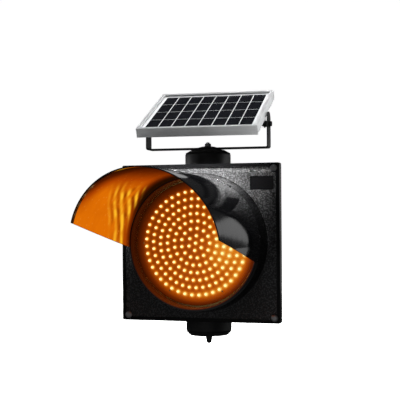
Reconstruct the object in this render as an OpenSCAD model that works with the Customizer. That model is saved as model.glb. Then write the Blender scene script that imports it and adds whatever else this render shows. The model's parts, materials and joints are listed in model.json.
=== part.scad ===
// Solar-powered flashing warning light: a 300 mm signal head with a cutaway
// visor, an LED module, and a tilting solar panel on a swivelling U-bracket.
// Origin: centre of the lower spigot's end face. +X right, +Y to the rear, +Z up.

/* [Housing] */
// Width of the door across the front
door_w = 360; // [300:1:420]
// Height of the door
door_h = 344; // [300:1:400]
// Depth of the door's skirt behind its face
door_d = 14.5; // [10:0.5:30]
// Height of the raised rim round the door face
rim_h = 2.5; // [1:0.5:5]
// Width of the raised rim
rim_w = 8; // [4:0.5:14]
// Depth of the rear shell behind the door face
shell_back = 132; // [100:1:180]
// Wall thickness of the moulded parts
wall = 3; // [2:0.5:5]

/* [Collar, lens and visor] */
// Outer radius of the collar at the door face
collar_r = 152; // [130:1:165]
// Outer radius of the collar at the visor's seat
collar_front_r = 146.2; // [130:0.1:160]
// How far the collar stands out of the door
collar_len = 52; // [20:1:80]
// Length of the collar's spigot under the visor
spigot_len = 12; // [8:1:20]
// Clear opening of the lens
lens_r = 139.2; // [120:0.1:150]
// Visor length from the collar to the top of its front edge
visor_len = 326; // [200:1:360]
// Visor's outer radius at its front edge
visor_tip_r = 151.5; // [140:0.5:165]
// How far the front edge slopes back from the crown to the sides
visor_rake = 29; // [0:1:60]
// Height of the visor's lower edge at the base, below the lens centre
visor_low = 25; // [0:1:60]
// Height of the visor's lower edge at its tips, above the lens centre
visor_high = 30.5; // [0:0.5:60]
// Turn of the visor about the lens axis
visor_turn = 6.5; // [0:0.5:15]

/* [LED module] */
// Spacing of the LED rings
ring_step = 16; // [12:0.5:20]
// Radius of one LED
led_r = 2.6; // [2:0.1:4]
// Radius of the LED circuit board
board_r = 135; // [122:1:136]

/* [Spigots and bracket] */
// Distance of the spigot axis behind the door face
neck_y = 66; // [50:1:90]
// Radius of the spigots' clamping bands
neck_r = 51; // [40:0.5:60]
// Height of the spigots' ends from the lens centre
neck_z = 196; // [180:1:220]
// Width of the bracket's flat bar
bar_w = 36; // [15:1:40]
// Thickness of the bracket's flat bar
bar_t = 3; // [2:0.5:6]
// Half of the bracket's outer width
bracket_x = 140; // [120:1:180]
// Height of the tilt pivot above the lens centre
pivot_z = 262; // [240:1:320]
// Swivel of the bracket at rest
yaw = 4; // [-20:1:20]

/* [Solar panel] */
// Panel width
panel_w = 267; // [200:1:400]
// Panel length
panel_l = 243; // [180:1:400]
// Depth of the panel frame
panel_t = 21; // [15:1:40]
// Tilt of the panel at rest
tilt = 24.5; // [0:0.5:60]
// Height of the panel's top face above the pivot
panel_up = 36; // [25:0.5:60]
// Offset of the panel's centre behind the pivot
panel_off = 10; // [0:0.5:30]
// Cell columns across the panel
cell_cols = 8; // [2:1:12]
// Cell rows along the panel
cell_rows = 4; // [1:1:8]

/* [Switch] */
// Rest angle of the rocker, switched on
rocker_rest = -8; // [-10:1:10]

/* [Hidden] */
$fn = 96;
// half width and half height of the rear shell, at the front and at the back
shell_x_front = 172;
shell_x_back = 143;
shell_z_front = 164;
shell_z_back = 140;
// where the rear shell begins, behind the door face
shell_front = 8;
// where the necks' clamping bands begin, from the lens centre
band_z = 172.5;
// the collar's bore, the lens's seat in it, and the counterbore behind the door
bore_r = 139.7;
seat_r = 142;
counterbore_r = 148;
// the switch and the cable gland stand this far each side and this high on the back
fitting_x = 112;
fitting_z = 36;
// distance of the rocker's pivot behind the door face
rocker_y = 130.5;
// the four corner screws of the door
corner_x = 166.5;
corner_z = 160.5;
// the six tray screws and the six board screws stand on these radii
tray_screw_ring = 153.5;
board_screw_ring = 118.5;
// places of the controller's and the cradle's screws
controller_x = [-48, 48];
controller_z = [14, 66];
cradle_x = [-84, 84];
cradle_z = [-112, -34];
visor_screw_angles = [12, 62, 118, 168];
// radius of the leads' insulation
lead_r = 1.3;
// half of the panel's width and length
panel_hw = panel_w/2;
panel_hl = panel_l/2;
frame_lip = 8;
lug_x = 122;
cell_gap = 1.8;
// the necks are slightly thinner away from their clamping bands
tube_r = neck_r - 0.8;
// number of LEDs in each ring, and the angle of the first one
counts = [1, 6, 13, 20, 27, 34, 39, 44];
phases = [0, 23, 0, -7, -6.6, 1.4, 2.7, 3.6];

// ---------- placing ----------

// the signal head's own frame: lens centre on the door face
module head() {
  translate([0, -neck_y, neck_z]) children();
}

// the bracket's frame: on the spigot axis, turned with the bracket
module turned() {
  translate([0, 0, neck_z]) rotate([0, 0, yaw]) children();
}

// the panel's frame: on the pivot axis, tilted with the panel
module tilted() {
  turned() translate([0, 0, pivot_z]) rotate([tilt, 0, 0]) children();
}

// a shape drawn upward, laid so that its height runs to the rear
module along_y() {
  rotate([-90, 0, 0]) children();
}

module round_rect(w, h, r) {
  translate([-w/2 + r, -h/2]) square([w - 2*r, h]);
  translate([-w/2, -h/2 + r]) square([w, h - 2*r]);
  for (x = [-1, 1], y = [-1, 1])
    translate([x*(w/2 - r), y*(h/2 - r)]) circle(r = r);
}

// a rounded plate from y0 to y1
module plate_y(w, h, r, y0, y1) {
  translate([0, y0, 0]) along_y() linear_extrude(height = y1 - y0) round_rect(w, h, r);
}

module disc_y(r, y0, y1) {
  translate([0, y0, 0]) along_y() cylinder(r = r, h = y1 - y0);
}

module cone_y(r0, r1, y0, y1) {
  translate([0, y0, 0]) along_y() cylinder(r1 = r0, r2 = r1, h = y1 - y0);
}

// a straight round rod between two points
module rod(a, b, r) {
  d = b - a;
  l = norm(d);
  translate(a) rotate([0, acos(d[2]/l), atan2(d[1], d[0])]) cylinder(r = r, h = l, $fn = 32);
}

module cable(pts, r) {
  for (i = [0:len(pts) - 2]) rod(pts[i], pts[i + 1], r);
  for (i = [1:len(pts) - 2]) translate(pts[i]) sphere(r = 1.25*r, $fn = 32);
}

module hex(af, h) {
  cylinder(r = af/sqrt(3), h = h, $fn = 6);
}

// the four door screws' places
module corner_pts() {
  for (x = [-1, 1], z = [-1, 1]) translate([x*corner_x, 0, z*corner_z]) children();
}

// the four screws' places of the controller board and of the battery cradle
module controller_pts() {
  for (x = controller_x, z = controller_z) translate([x, 0, z]) children();
}

module cradle_pts() {
  for (x = cradle_x, z = cradle_z) translate([x, 0, z]) children();
}

// six places round the lens axis: the tray's screws and the board's
module tray_pts() {
  for (a = [30:60:359]) rotate([0, a, 0]) translate([tray_screw_ring, 0, 0]) children();
}

module board_pts() {
  for (a = [0:60:359]) rotate([0, a, 0]) translate([board_screw_ring, 0, 0]) children();
}

// ---------- rear shell ----------

// tapered box from the front edge to the back, in from the outside by t
module shell_solid(t, y0, y1) {
  x0 = shell_x_front - t;
  x1 = shell_x_back - t;
  z0 = shell_z_front - t;
  z1 = shell_z_back - t;
  intersection() {
    translate([0, 0, -200]) linear_extrude(height = 400)
      polygon([[-x0, y0], [x0, y0], [x1, y1], [-x1, y1]]);
    rotate([90, 0, 90]) translate([0, 0, -200]) linear_extrude(height = 400)
      polygon([[y0, -z0], [y0, z0], [y1, z1], [y1, -z1]]);
    plate_y(2*x0, 2*z0, 16 - t, y0, y1);
  }
}

// the upper (s = 1) or lower (s = -1) neck, with its clamping band
module neck_tube(s) {
  translate([0, neck_y, 0]) {
    translate([0, 0, s > 0 ? 120 : -band_z]) cylinder(r = tube_r, h = band_z - 120);
    translate([0, 0, s > 0 ? band_z : -neck_z]) cylinder(r = neck_r, h = neck_z - band_z);
  }
}

// its bore, with an inner ledge that the clamp plate bears on
module neck_bore(s) {
  translate([0, neck_y, 0]) {
    translate([0, 0, s > 0 ? 110 : -179]) cylinder(r = neck_r - 4.5, h = 69);
    translate([0, 0, s > 0 ? 182 : -neck_z - 1]) cylinder(r = neck_r - 4.5, h = 15);
    translate([0, 0, s > 0 ? 170 : -190]) cylinder(r = 38, h = 20);
  }
}

module rear_shell() {
  color([0.06, 0.06, 0.065]) head() difference() {
    union() {
      difference() {
        union() {
          shell_solid(0, shell_front, shell_back);
          for (s = [-1, 1]) neck_tube(s);
          corner_pts() disc_y(6, shell_front, 26);
          // stiffening ribs on the back
          for (x = [-90, 90]) translate([x - 2, shell_back - 1, -100]) cube([4, 3.5, 200]);
        }
        shell_solid(wall, shell_front - 1, shell_back - wall);
        for (s = [-1, 1]) neck_bore(s);
      }
      // bosses inside the back wall
      controller_pts() disc_y(3.5, 115.6, 130);
      cradle_pts() disc_y(5, 124, 130);
      intersection() {
        corner_pts() disc_y(6, shell_front, 26);
        plate_y(2*shell_x_front + 4, 2*shell_z_front + 4, 5, shell_front, 26);
      }
    }
    corner_pts() disc_y(2.5, shell_front - 1, 23);
    controller_pts() disc_y(1.25, 110, 124);
    cradle_pts() disc_y(1.8, 120, 129.5);
    // rocker switch cut-out
    translate([fitting_x - 9.6, 120, fitting_z - 14]) cube([19.2, 20, 28]);
    // cable inlet
    translate([-fitting_x, 0, fitting_z]) disc_y(8, 120, 140);
  }
}

// ---------- door ----------

module collar_outer() {
  cone_y(collar_r, collar_front_r, -(collar_len - spigot_len), 1);
}

module front_door() {
  color([0.05, 0.05, 0.055]) head() difference() {
    union() {
      // face, rim and skirt
      difference() {
        plate_y(door_w, door_h, 4, -rim_h, door_d);
        plate_y(door_w - 2*rim_w, door_h - 2*rim_w, 4, -rim_h - 1, 0);
        plate_y(door_w - 8, door_h - 8, 4, 3.5, door_d + 1);
      }
      // collar
      rotate([90, 0, 0]) translate([0, 0, -1])
        cylinder(r1 = collar_r, r2 = collar_front_r, h = collar_len - spigot_len + 1);
      disc_y(143, -collar_len, -collar_len + spigot_len + 1);
      // bosses for the tray screws
      tray_pts() disc_y(4, 3, 6);
    }
    // bore of the collar, lens seat and counterbore
    disc_y(bore_r, -collar_len - 1, -12.5);
    disc_y(seat_r, -13, -12);
    disc_y(counterbore_r, -12, 7);
    // blank recess for a plate
    translate([114, -1, 114]) cube([53, 1.8, 29.5]);
    // corner screw wells and holes
    corner_pts() {
      disc_y(9.5, -rim_h - 1, 1);
      disc_y(2.9, -4, 4);
    }
    tray_pts() disc_y(1.4, 1.5, 7);
    visor_holes(1.5, 139, 144);
  }
}

module visor_holes(r, r0, r1) {
  rotate([0, visor_turn, 0]) for (a = visor_screw_angles)
    rotate([0, -a, 0]) translate([r0, -collar_len + 6, 0]) rotate([0, 90, 0])
      cylinder(r = r, h = r1 - r0, $fn = 24);
}

module door_gasket() {
  color([0.1, 0.1, 0.1]) head() difference() {
    union() {
      difference() {
        plate_y(2*shell_x_front, 2*shell_z_front, 16, 3.5, shell_front);
        plate_y(2*shell_x_front - 6, 2*shell_z_front - 6, 13, 3, shell_front + 1);
      }
      corner_pts() disc_y(6, 3.5, shell_front);
    }
    corner_pts() disc_y(2.9, 3, shell_front + 1);
  }
}

module door_screws() {
  color([0.62, 0.63, 0.65]) head() corner_pts() difference() {
    union() {
      disc_y(7.5, -2.2, 1);
      cone_y(4.5, 7.5, -4, -2.2);
      disc_y(2.48, 0.5, 22);
    }
    // cross recess
    translate([-4, -4.5, -0.7]) cube([8, 2, 1.4]);
    translate([-0.7, -4.5, -4]) cube([1.4, 2, 8]);
  }
}

// ---------- visor ----------

module visor_cone(d) {
  // d < 0 is the inner surface
  cone_y(visor_tip_r + d, collar_front_r + d, -collar_len - visor_len - 4,
    -collar_len + spigot_len + (d < 0 ? 1 : 0));
}

module visor() {
  $fn = 240;
  // a height above the crown
  over = 170;
  color([0.04, 0.04, 0.045]) head() rotate([0, visor_turn, 0]) intersection() {
    difference() {
      visor_cone(0);
      cone_y(visor_tip_r - 2.4, 143.8, -collar_len - visor_len - 5, -collar_len - 4);
      disc_y(143.02, -collar_len - 5, -collar_len + spigot_len + 2);
      for (a = visor_screw_angles)
        rotate([0, -a, 0]) translate([139, -collar_len + 6, 0]) rotate([0, 90, 0])
          cylinder(r = 1.7, h = 12, $fn = 24);
    }
    rotate([90, 0, 90]) translate([0, 0, -170]) linear_extrude(height = 340)
      polygon([[-collar_len + spigot_len, -visor_low], [-collar_len + 2, -visor_low],
        [-collar_len - visor_len + visor_rake*(1 - visor_high/151), visor_high],
        [-collar_len - visor_len - visor_rake*(over/151 - 1), over],
        [-collar_len + spigot_len, over]]);
  }
}

module visor_screws() {
  color([0.12, 0.12, 0.12]) head() rotate([0, visor_turn, 0]) for (a = visor_screw_angles)
    rotate([0, -a, 0]) translate([140.2, -collar_len + 6, 0]) rotate([0, 90, 0]) {
      cylinder(r = 1.5, h = 7, $fn = 24);
      translate([0, 0, 6.6]) cylinder(r1 = 3, r2 = 2, h = 1.4, $fn = 24);
    }
}

// ---------- lens and LED module ----------

module lens() {
  // radius of the slightly domed face
  dome_r = 613.5;
  color([0.95, 0.75, 0.4, 0.35]) head() difference() {
    union() {
      intersection() {
        translate([0, -50 + dome_r, 0]) sphere(r = dome_r, $fn = 240);
        disc_y(lens_r, -51, -30);
      }
      disc_y(lens_r, -31, -6);
      disc_y(counterbore_r - 0.4, -9, -6);
    }
    intersection() {
      translate([0, -50 + dome_r, 0]) sphere(r = dome_r - 3, $fn = 240);
      disc_y(lens_r - 2.5, -48, -28);
    }
    disc_y(lens_r - 2.5, -29, -5);
  }
}

module lens_gasket() {
  color([0.08, 0.08, 0.08]) head() difference() {
    disc_y(counterbore_r - 0.4, -12, -9);
    disc_y(seat_r + 0.2, -13, -8);
  }
}

module led_tray() {
  color([0.75, 0.75, 0.76]) head() difference() {
    union() {
      disc_y(158, 6, 8.5);
      difference() {
        disc_y(counterbore_r - 0.6, -6, 6.5);
        disc_y(134.5, -7, 3);
      }
      disc_y(130, -24, 8.5);
    }
    disc_y(127, -21.5, 9);
    // cable opening
    translate([0, 0, 40]) disc_y(7, -30, -20);
    tray_pts() disc_y(1.8, 5, 10);
    board_pts() disc_y(1.25, -25, -20);
  }
}

module tray_screws() {
  color([0.7, 0.71, 0.73]) head() tray_pts() {
    disc_y(1.4, 1.6, 8.6);
    cone_y(3.2, 2.4, 8.5, 10.5);
  }
}

module led_standoffs() {
  color([0.8, 0.65, 0.3]) head() board_pts() difference() {
    disc_y(2.8, -27, -24);
    disc_y(1.25, -28, -23);
  }
}

module led_board() {
  color([0.45, 0.12, 0.03]) head() difference() {
    disc_y(board_r, -28.6, -27);
    board_pts() disc_y(1.6, -30, -26);
  }
}

// identical M3 screws on both boards
module board_screws() {
  color([0.75, 0.76, 0.78]) head() {
    board_pts() {
      disc_y(1.25, -28.8, -21.6);
      cone_y(1.8, 2.6, -30.4, -28.6);
    }
    controller_pts() {
      disc_y(1.25, 113.8, 121);
      cone_y(1.8, 2.6, 112.2, 114);
    }
  }
}

module leds() {
  color([1, 0.75, 0.2]) head() for (k = [0:7], i = [0:counts[k] - 1])
    rotate([0, -(phases[k] + 360*i/counts[k]), 0]) translate([k*ring_step, 0, 0]) {
      disc_y(led_r, -33.2, -28.6, $fn = 16);
      cone_y(1.3, led_r, -35.6, -33.2, $fn = 16);
    }
}

// ---------- spigot fittings ----------

module spigot_gaskets() {
  color([0.08, 0.08, 0.08]) head() translate([0, neck_y, 0]) for (s = [neck_z, -neck_z - 1])
    translate([0, 0, s]) difference() {
      cylinder(r = tube_r, h = 1);
      translate([0, 0, -1]) cylinder(r = neck_r - 4.2, h = 3);
    }
}

module cap_shape(top_r, top_h, flat_r) {
  difference() {
    union() {
      cylinder(r = tube_r, h = 2);
      translate([0, 0, 2]) cylinder(r1 = tube_r, r2 = top_r, h = top_h - 2);
      translate([0, 0, top_h]) cylinder(r1 = top_r, r2 = flat_r, h = 2.2);
      translate([0, 0, -7]) cylinder(r = neck_r - 4.8, h = 8);
    }
    translate([0, 0, -8]) cylinder(r = neck_r - 7.5, h = 10);
    translate([0, 0, -9]) cylinder(r = 4.3, h = 30);
  }
}

module upper_cap() {
  color([0.05, 0.05, 0.05]) head() translate([0, neck_y, neck_z + 1]) cap_shape(38, 8.6, 20);
}

module lower_cap() {
  color([0.05, 0.05, 0.05]) head() translate([0, neck_y, -neck_z - 1])
    rotate([180, 0, 0]) cap_shape(43, 10, 17);
}

module clamp_plates() {
  color([0.66, 0.67, 0.69]) head() translate([0, neck_y, 0]) for (z = [176, -179])
    translate([0, 0, z]) difference() {
      cylinder(r = 44, h = 3);
      translate([0, 0, -1]) cylinder(r = 4.3, h = 5);
    }
}

module upper_bolt() {
  color([0.6, 0.61, 0.63]) head() translate([0, neck_y, 0]) {
    translate([0, 0, 170.7]) hex(13, 5.3);
    translate([0, 0, 175]) cylinder(r = 4, h = 47.6, $fn = 48);
    translate([0, 0, 222.6]) cylinder(r1 = 4, r2 = 3, h = 1, $fn = 48);
  }
}

module lower_bolt() {
  color([0.6, 0.61, 0.63]) head() translate([0, neck_y, 0]) {
    translate([0, 0, -176]) hex(13, 5.3);
    translate([0, 0, -219]) cylinder(r = 4, h = 44, $fn = 48);
  }
}

module dome_washer() {
  color([0.09, 0.09, 0.09]) head() translate([0, neck_y, 211.05]) difference() {
    cylinder(r1 = 25, r2 = 13, h = 3);
    translate([0, 0, -1]) cylinder(r = 4.2, h = 5);
  }
}

module upper_nut() {
  color([0.5, 0.51, 0.53]) head() translate([0, neck_y, 214.05]) difference() {
    hex(13, 6.5);
    translate([0, 0, -1]) cylinder(r = 4.01, h = 9, $fn = 48);
  }
}

module acorn_nut() {
  color([0.12, 0.12, 0.12]) head() translate([0, neck_y, -209.2]) rotate([180, 0, 0])
    difference() {
      union() {
        cylinder(r = 11, h = 1.6);
        translate([0, 0, 1.6]) hex(13, 6.5);
        translate([0, 0, 8]) cylinder(r = 6, h = 3.6);
        translate([0, 0, 11.6]) sphere(r = 6);
      }
      translate([0, 0, -1]) cylinder(r = 4.01, h = 11.5, $fn = 48);
    }
}

// ---------- power and control ----------

module battery() {
  color([0.13, 0.14, 0.16]) head() {
    translate([-75.5, 56.5, -123]) cube([151, 65, 90]);
    translate([-74, 58, -33]) cube([148, 62, 4]);
  }
}

module battery_terminals() {
  color([0.8, 0.65, 0.3]) head() for (x = [-60, 60])
    translate([x - 3.2, 66, -29]) cube([6.4, 0.8, 8]);
}

module battery_cradle() {
  color([0.7, 0.71, 0.73]) head() difference() {
    union() {
      translate([-92, 122, -125]) cube([184, 2, 101]);
      translate([-77, 54, -125]) cube([154, 69, 2]);
      translate([-77, 52.5, -125]) cube([154, 2, 14]);
    }
    cradle_pts() disc_y(2.1, 120, 126);
  }
}

module battery_strap() {
  color([0.2, 0.2, 0.22]) head() translate([0, 0, -76]) difference() {
    translate([-77.5, 54.6, 0]) cube([155, 67.4, 16]);
    translate([-75.6, 56.4, -1]) cube([151.2, 66, 18]);
  }
}

module cradle_screws() {
  color([0.75, 0.76, 0.78]) head() cradle_pts() {
    disc_y(1.78, 121.8, 129);
    cone_y(2.6, 3.8, 119.6, 122);
  }
}

module controller_board() {
  color([0.05, 0.3, 0.14]) head() difference() {
    translate([-55, 114, 5]) cube([110, 1.6, 70]);
    controller_pts() disc_y(1.6, 113, 117);
  }
}

module controller_components() {
  color([0.1, 0.1, 0.11]) head() {
    for (x = [-34, -18]) translate([x, 0, 56]) disc_y(6.3, 94, 114);
    translate([0, 108, 44]) cube([20, 6, 24]);
    translate([30, 111, 48]) cube([9, 3, 9]);
    translate([-38, 110, 26]) cube([14, 4, 10]);
    translate([-14, 98, 26]) cube([19, 16, 16]);
    for (x = [18, 26, 34]) translate([x, 0, 34]) disc_y(2.5, 106, 114);
  }
}

module terminal_block() {
  color([0.1, 0.35, 0.2]) head() difference() {
    translate([-35, 104, 7]) cube([70, 10, 10]);
    for (i = [0:6]) translate([-30 + 10*i, 0, 12]) disc_y(3, 103, 106.6);
  }
}

module positive_leads() {
  color([0.7, 0.06, 0.05]) head() {
    cable([[3, -27, 40], [3, 40, 40], [-30, 90, 20], [-30, 98, 12], [-30, 106, 12]], lead_r);
    cable([[-60, 66.4, -21], [-60, 66.4, -8], [-20, 88, 0], [-10, 98, 12], [-10, 106, 12]], lead_r);
    cable([[109, 112, 40], [109, 107, 40], [90, 100, 20], [40, 92, 6], [20, 98, 12],
      [20, 106, 12]], lead_r);
  }
}

module negative_leads() {
  color([0.05, 0.05, 0.06]) head() {
    cable([[-3, -27, 40], [-3, 36, 40], [-24, 86, 18], [-20, 106, 12]], lead_r);
    cable([[60, 66.4, -21], [60, 66.4, -7], [8, 90, 5], [0, 106, 12]], lead_r);
    cable([[115, 111.3, 32], [112, 102, 24], [38, 88, -1], [30, 106, 12]], lead_r);
  }
}

module switch_body() {
  color([0.09, 0.09, 0.1]) head() translate([fitting_x, 0, fitting_z]) difference() {
    union() {
      translate([-12, shell_back, -16.5]) cube([24, 2, 33]);
      translate([-9.5, 112, -13.9]) cube([19, 20.5, 27.8]);
    }
    translate([-7.5, 124, -11.5]) cube([15, 12, 23]);
    translate([-8.7, rocker_y, 0]) rotate([0, 90, 0]) cylinder(r = 1.56, h = 17.4, $fn = 32);
  }
}

module switch_rocker() {
  color([0.7, 0.05, 0.04]) head() translate([fitting_x, rocker_y, fitting_z]) rotate([rocker_rest, 0, 0]) {
    intersection() {
      rotate([90, 0, 90]) translate([0, 0, -7.2]) linear_extrude(height = 14.4)
        polygon([[-3, -6], [4.6, -10.6], [3.4, 0], [4.6, 10.6], [-3, 6]]);
      rotate([0, 90, 0]) translate([0, 0, -8]) cylinder(r = 11.3, h = 16);
    }
    translate([-8.5, 0, 0]) rotate([0, 90, 0]) cylinder(r = 1.5, h = 17, $fn = 32);
  }
}

// cable inlet: a gland with nothing through it
module gland_body() {
  color([0.07, 0.07, 0.07]) head() translate([-fitting_x, 0, fitting_z]) difference() {
    union() {
      disc_y(7.95, 119, 140);
      translate([0, shell_back, 0]) along_y() hex(22, 5);
    }
    disc_y(4.5, 118, 136);
    disc_y(5.2, 134, 141);
  }
}

module gland_nut() {
  color([0.07, 0.07, 0.07]) head() translate([-fitting_x, 0, fitting_z]) difference() {
    union() {
      translate([0, 137.2, 0]) along_y() hex(20, 9);
      cone_y(9.5, 6.5, 146, 150);
    }
    disc_y(7.97, 137, 140.2);
    disc_y(5.5, 137, 151);
  }
}

module gland_seal() {
  color([0.15, 0.15, 0.15]) head() translate([-fitting_x, 0, fitting_z]) difference() {
    disc_y(5.1, 136.2, 147);
    disc_y(3.25, 136, 148);
    disc_y(4.2, 136, 141);
  }
}

module gland_locknut() {
  color([0.07, 0.07, 0.07]) head() translate([-fitting_x, 0, fitting_z]) difference() {
    translate([0, 124.4, 0]) along_y() hex(20, 4.5);
    disc_y(7.97, 123, 130);
  }
}

// ---------- bracket ----------

module u_bracket() {
  // underside of the bar, just over the upper cap
  bar_z = 207.95;
  color([0.07, 0.07, 0.07]) turned() difference() {
    union() {
      // strap, bends and arms
      translate([-bracket_x + 5, -bar_w/2, bar_z]) cube([2*bracket_x - 10, bar_w, bar_t]);
      for (s = [-1, 1]) {
        translate([s*(bracket_x - 5), 0, bar_z + 5]) rotate([90, 0, 0])
          translate([0, 0, -bar_w/2]) intersection() {
            difference() {
              cylinder(r = 5, h = bar_w);
              translate([0, 0, -1]) cylinder(r = 5 - bar_t, h = bar_w + 2);
            }
            translate([s > 0 ? 0 : -6, -6, 0]) cube([6, 6, bar_w]);
          }
        translate([s > 0 ? bracket_x - bar_t : -bracket_x, -bar_w/2, bar_z + 5])
          cube([bar_t, bar_w, pivot_z + 9 - bar_z - 5]);
        translate([s > 0 ? bracket_x - bar_t : -bracket_x, 0, pivot_z + 9]) rotate([0, 90, 0])
          cylinder(r = bar_w/2, h = bar_t);
      }
    }
    translate([0, 0, bar_z - 1]) cylinder(r = 4.06, h = 6, $fn = 48);
    translate([-bracket_x - 1, 0, pivot_z]) rotate([0, 90, 0])
      cylinder(r = 3.01, h = 2*bracket_x + 2, $fn = 48);
  }
}

// both ends of the tilt axis, with +Z pointing outward
module both_sides() {
  turned() for (s = [0, 1]) rotate([0, 0, 180*s]) translate([0, 0, pivot_z])
    rotate([0, 90, 0]) children();
}

module pivot_bolts() {
  color([0.16, 0.16, 0.17]) both_sides() {
    translate([0, 0, 119.6]) cylinder(r = 3, h = bracket_x + 2 - 119.6, $fn = 48);
    translate([0, 0, bracket_x + 1.6]) hex(10, 4.2);
  }
}

module pivot_washers() {
  color([0.2, 0.2, 0.21]) both_sides() translate([0, 0, bracket_x]) difference() {
    cylinder(r = 8.5, h = 1.6);
    translate([0, 0, -1]) cylinder(r = 3.01, h = 4, $fn = 48);
  }
}

module pivot_spacers() {
  color([0.12, 0.12, 0.13]) both_sides() translate([0, 0, 131.05]) difference() {
    cylinder(r = 7, h = bracket_x - bar_t - 131.05);
    translate([0, 0, -1]) cylinder(r = 3.01, h = 9, $fn = 48);
  }
}

module pivot_nuts() {
  color([0.2, 0.2, 0.21]) both_sides() translate([0, 0, 121.45]) difference() {
    hex(10, 6.5);
    translate([0, 0, -1]) cylinder(r = 3.01, h = 9, $fn = 48);
  }
}

// ---------- panel ----------

// rail section: outer wall, top lip, glass groove and bottom flange
module rail_section() {
  polygon([[0, 0], [18, 0], [18, 1.5], [1.6, 1.5], [1.6, panel_t - 7], [frame_lip, panel_t - 7],
    [frame_lip, panel_t - 5.5], [1.6, panel_t - 5.5], [1.6, panel_t - 1.5],
    [frame_lip, panel_t - 1.5], [frame_lip, panel_t], [0, panel_t]]);
}

// a mitred rail of length l, outer face on y = 0
module rail(l) {
  intersection() {
    rotate([90, 0, 90]) translate([0, 0, -l/2]) linear_extrude(height = l) rail_section();
    translate([0, 0, -1]) linear_extrude(height = panel_t + 2)
      polygon([[-l/2, 0], [l/2, 0], [l/2 - 20, 20], [-l/2 + 20, 20]]);
  }
}

// the underside of the frame, centred on the panel
module framed() {
  tilted() translate([0, panel_off, panel_up - panel_t]) children();
}

module rail_front() {
  color([0.78, 0.79, 0.8]) framed() translate([0, -panel_hl, 0]) rail(panel_w);
}

module rail_rear() {
  color([0.78, 0.79, 0.8]) framed() rotate([0, 0, 180]) translate([0, -panel_hl, 0]) rail(panel_w);
}

// clearance holes of the lug screws through a side rail
module lug_hole(x) {
  translate([x, -panel_off, -1]) cylinder(r = 2.2, h = 4, $fn = 48);
}

module rail_left() {
  color([0.78, 0.79, 0.8]) framed() difference() {
    rotate([0, 0, -90]) translate([0, -panel_hw, 0]) rail(panel_l);
    lug_hole(-lug_x);
  }
}

module rail_right() {
  color([0.78, 0.79, 0.8]) framed() difference() {
    rotate([0, 0, 90]) translate([0, -panel_hw, 0]) rail(panel_l);
    lug_hole(lug_x);
  }
}

module corner_keys() {
  color([0.6, 0.61, 0.62]) framed() for (x = [-1, 1], y = [-1, 1])
    translate([x*(panel_hw - 1.6), y*(panel_hl - 1.6), 1.5]) {
      translate([x > 0 ? -26 : 0, y > 0 ? -2.4 : 0, 0]) cube([26, 2.4, 10]);
      translate([x > 0 ? -2.4 : 0, y > 0 ? -26 : 0, 0]) cube([2.4, 26, 10]);
    }
}

module panel_glass() {
  color([0.75, 0.85, 0.95, 0.3]) framed()
    translate([-panel_hw + 1.8, -panel_hl + 1.8, panel_t - 4.6]) cube([panel_w - 3.6, panel_l - 3.6, 3.1]);
}

module solar_cells() {
  cx = (panel_w - 28)/cell_cols;
  cy = (panel_l - 30)/cell_rows;
  color([0.03, 0.035, 0.07]) framed() for (i = [0:cell_cols - 1], j = [0:cell_rows - 1])
    translate([(i - cell_cols/2)*cx + cell_gap/2, (j - cell_rows/2)*cy + cell_gap/2, panel_t - 4.9])
      cube([cx - cell_gap, cy - cell_gap, 0.3]);
}

module backsheet() {
  color([0.9, 0.9, 0.9]) framed()
    translate([-panel_hw + 1.8, -panel_hl + 1.8, panel_t - 5.5]) cube([panel_w - 3.6, panel_l - 3.6, 0.6]);
}

module junction_box() {
  color([0.08, 0.08, 0.08]) framed() translate([0, 70, 0]) difference() {
    translate([-35, -25, panel_t - 21]) cube([70, 50, 15.5]);
    translate([-33, -23, panel_t - 22]) cube([66, 46, 15]);
    translate([0, -26, 7]) rotate([-90, 0, 0]) cylinder(r = 4, h = 6);
  }
}

module junction_lid() {
  color([0.08, 0.08, 0.08]) framed() translate([0, 70, -2]) {
    translate([-36, -26, 0]) cube([72, 52, 2]);
    for (x = [-26, 20]) translate([x, 25.02, -1]) cube([6, 1.4, 9]);
  }
}

module junction_gland() {
  color([0.07, 0.07, 0.07]) framed() translate([0, 45, 7]) rotate([90, 0, 0]) difference() {
    union() {
      translate([0, 0, -3]) cylinder(r = 3.98, h = 6);
      hex(12, 4);
      translate([0, 0, 4]) cylinder(r1 = 5.6, r2 = 4.4, h = 6);
    }
    translate([0, 0, -4]) cylinder(r = 2.2, h = 16, $fn = 48);
    translate([0, 0, -4]) cylinder(r = 2.8, h = 4, $fn = 48);
  }
}

// brackets under the side rails that hang on the pivot bolts
module panel_lugs() {
  up = panel_up - panel_t;
  color([0.09, 0.09, 0.09]) tilted() for (s = [0, 1]) mirror([s, 0, 0])
    difference() {
      union() {
        translate([128, -9, 0]) cube([3, 18, up]);
        translate([128, 0, 0]) rotate([0, 90, 0]) cylinder(r = 9, h = 3);
        translate([112, -9, up - 2.5]) cube([18, 18, 2.5]);
      }
      translate([127, 0, 0]) rotate([0, 90, 0]) cylinder(r = 3.06, h = 5, $fn = 48);
      translate([lug_x, 0, up - 4]) cylinder(r = 2.2, h = 6, $fn = 48);
    }
}

module lug_screws() {
  up = panel_up - panel_t;
  color([0.7, 0.71, 0.73]) tilted() for (s = [-1, 1]) translate([s*lug_x, 0, 0]) {
    translate([0, 0, up - 5]) cylinder(r1 = 3, r2 = 3.6, h = 2.5);
    translate([0, 0, up - 3]) cylinder(r = 2, h = 7);
    translate([0, 0, up + 1.5]) cylinder(r = 3.4, h = 2.4);
  }
}

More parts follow.
